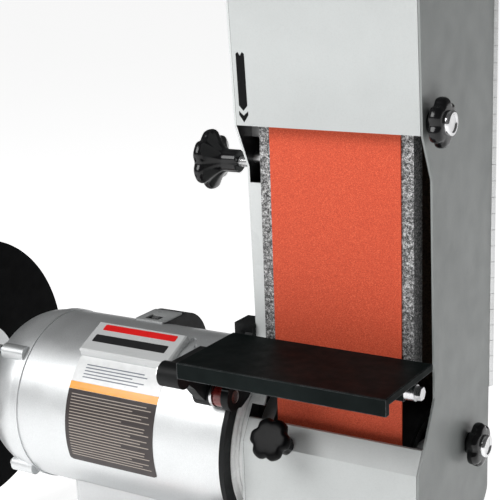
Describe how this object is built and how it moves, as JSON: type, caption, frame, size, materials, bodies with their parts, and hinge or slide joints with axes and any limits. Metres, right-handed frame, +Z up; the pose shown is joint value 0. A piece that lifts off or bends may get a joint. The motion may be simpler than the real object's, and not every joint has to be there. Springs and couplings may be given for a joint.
{
  "type": "bench grinder and belt sander",
  "caption": "Bench machine with one motor driving a guarded grinding wheel and an upright sanding belt with platen, tilting work table and hinged side door.",
  "frame": {"origin": "centre of the four bench bolt holes, on the underside of the base", "axes": "+X right along the motor axis from the grinding wheel to the belt, +Y to the back, +Z up"},
  "size_m": [0.5829, 0.284, 0.562],
  "materials": {
    "grey_casting": "semi-gloss light grey paint",
    "motor_silver": "silver metallic paint",
    "grey_sheet": "fine-textured light grey powder coat",
    "black_paint": "satin black paint",
    "table_black": "satin black paint on cast iron",
    "knob_black": "gloss black moulded plastic",
    "switch_red": "gloss red plastic",
    "switch_black": "matte black plastic",
    "foot_rubber": "matte rubber",
    "bright_steel": "bright turned steel",
    "zinc_steel": "zinc-plated steel",
    "hinge_steel": "bright steel piano hinge",
    "platen_steel": "speckled ground steel",
    "core_steel": "laminated electrical steel",
    "abrasive_belt": "orange-red abrasive cloth",
    "pulley_aluminium": "turned aluminium",
    "pulley_rubber": "matte rubber tyre",
    "grinding_stone": "grey vitrified abrasive",
    "label_plate": "light grey painted plate",
    "spacer_red": "dark red nylon",
    "shield_clear": "clear polycarbonate"
  },
  "bodies": {
    "base": {"base_casting": "grey_casting", "base_feet": "foot_rubber", "switch_plate": "switch_black", "switch_body": "switch_black", "cord_gland": "switch_black", "motor_shell": "motor_silver", "left_bell": "motor_silver", "right_bell": "motor_silver", "stator": "core_steel", "bearing_outer_races": "bright_steel", "case_screws": "bright_steel", "capacitor_box": "knob_black", "name_plate": "label_plate", "clamp_ring": "black_paint", "wheel_guard": "black_paint", "guard_cover": "black_paint", "tool_rest_bracket": "black_paint"},
    "rotor": {"rotor_core": "core_steel", "rotor_shaft": "bright_steel", "bearing_inner_races": "bright_steel", "grinding_wheel": "grinding_stone", "wheel_clamp": "bright_steel", "drive_pulley": "pulley_aluminium", "pulley_tyre": "pulley_rubber"},
    "switch_paddle": {"switch_paddle": "switch_red"},
    "tool_rest": {"tool_rest": "black_paint"},
    "tool_rest_knob": {"tool_rest_knob": "knob_black"},
    "spark_guard": {"spark_guard": "black_paint"},
    "eye_shield": {"shield_arm": "black_paint", "eye_shield": "shield_clear"},
    "lock_lever": {"arm_lock_lever": "knob_black"},
    "belt_arm": {"arm_hub": "grey_casting", "side_wall": "grey_sheet", "back_plate": "grey_sheet", "upper_guard": "grey_sheet", "lower_guard": "grey_sheet", "dust_port": "knob_black", "platen": "platen_steel", "frame_brackets": "zinc_steel", "sanding_belt": "abrasive_belt", "frame_hinge_leaf": "hinge_steel", "hinge_pin": "bright_steel", "table_bracket": "black_paint", "pivot_bolt": "bright_steel", "pivot_spacer": "spacer_red", "tension_spring": "zinc_steel"},
    "tension_slide": {"tension_slide": "zinc_steel"},
    "tension_lever": {"tension_lever": "knob_black"},
    "tracking_lever": {"tracking_lever": "zinc_steel"},
    "idler": {"idler_pulley": "pulley_aluminium"},
    "tracking_knob": {"tracking_knob": "knob_black", "tracking_screw": "bright_steel"},
    "door": {"door": "grey_sheet", "door_hinge_leaf": "hinge_steel"},
    "upper_latch_knob": {"upper_latch_knob": "knob_black"},
    "lower_latch_knob": {"lower_latch_knob": "knob_black"},
    "guard_knob": {"guard_knob": "knob_black"},
    "work_table": {"table": "table_black", "table_arm": "black_paint", "table_bolts": "bright_steel"}
  },
  "joints": [
    {"name": "rotor_spin", "type": "hinge", "parent": "base", "child": "rotor", "pos_m": [0, 0, 0.178], "axis": [1, 0, 0], "continuous": true},
    {"name": "switch_press", "type": "hinge", "parent": "base", "child": "switch_paddle", "pos_m": [0, -0.086, 0.065], "axis": [1, 0, 0], "range_deg": [0, 8]},
    {"name": "tool_rest_slide", "type": "slide", "parent": "base", "child": "tool_rest", "axis": [0, -1, 0], "range_m": [0, 0.012]},
    {"name": "tool_rest_knob_turn", "type": "hinge", "parent": "base", "child": "tool_rest_knob", "pos_m": [-0.236, -0.131, 0.124], "axis": [0, 0, 1], "continuous": true},
    {"name": "spark_guard_slide", "type": "slide", "parent": "base", "child": "spark_guard", "axis": [0, -0.5225, 0.8526], "range_m": [0, 0.006]},
    {"name": "eye_shield_tilt", "type": "hinge", "parent": "base", "child": "eye_shield", "pos_m": [-0.246, -0.02535, 0.32178], "axis": [1, 0, 0], "range_deg": [-70, 0]},
    {"name": "lock_lever_turn", "type": "hinge", "parent": "base", "child": "lock_lever", "pos_m": [0.09, -0.07048, 0.11886], "axis": [1, 0, 0], "range_deg": [-60, 30]},
    {"name": "belt_arm_tilt", "type": "hinge", "parent": "base", "child": "belt_arm", "pos_m": [0.117, 0, 0.178], "axis": [1, 0, 0], "range_deg": [-90, 0]},
    {"name": "tension_lever_turn", "type": "hinge", "parent": "belt_arm", "child": "tension_lever", "pos_m": [0.11, 0.035, 0.47], "axis": [1, 0, 0], "range_deg": [0, 180]},
    {"name": "tension_slide_move", "type": "slide", "parent": "belt_arm", "child": "tension_slide", "axis": [0, 0, 1], "range_m": [-0.01, 0], "deforming": ["tension_spring", "sanding_belt"]},
    {"name": "tracking_tilt", "type": "hinge", "parent": "tension_slide", "child": "tracking_lever", "pos_m": [0.13, -0.014, 0.47], "axis": [0, 1, 0], "range_deg": [-1.43, 1.43], "deforming": ["sanding_belt"]},
    {"name": "tracking_knob_turn", "type": "hinge", "parent": "belt_arm", "child": "tracking_knob", "pos_m": [0.1, -0.015, 0.4005], "axis": [1, 0, 0], "range_deg": [-500, 500]},
    {"name": "idler_spin", "type": "hinge", "parent": "tracking_lever", "child": "idler", "pos_m": [0.19, -0.014, 0.51728], "axis": [1, 0, 0], "continuous": true},
    {"name": "door_swing", "type": "hinge", "parent": "belt_arm", "child": "door", "pos_m": [0.261, 0.0738, 0.3], "axis": [0, 0, 1], "range_deg": [0, 110]},
    {"name": "upper_latch_turn", "type": "hinge", "parent": "door", "child": "upper_latch_knob", "pos_m": [0.265, -0.045, 0.443], "axis": [1, 0, 0], "continuous": true},
    {"name": "lower_latch_turn", "type": "hinge", "parent": "door", "child": "lower_latch_knob", "pos_m": [0.265, 0.027, 0.189], "axis": [1, 0, 0], "continuous": true},
    {"name": "guard_knob_turn", "type": "hinge", "parent": "belt_arm", "child": "guard_knob", "pos_m": [0.156, -0.0626, 0.2002], "axis": [0, -0.8508, 0.5255], "continuous": true},
    {"name": "table_tilt", "type": "hinge", "parent": "belt_arm", "child": "work_table", "pos_m": [0.1, -0.0695, 0.2346], "axis": [1, 0, 0], "range_deg": [0, 45]}
  ],
  "couplings": [
    {"joint": "idler_spin", "follows": "rotor_spin", "ratio": 1.4613},
    {"joint": "tension_lever_turn", "follows": "tension_slide_move", "rad_per_m": -314.16},
    {"joint": "tracking_tilt", "follows": "tracking_knob_turn", "ratio": -0.0028625}
  ]
}
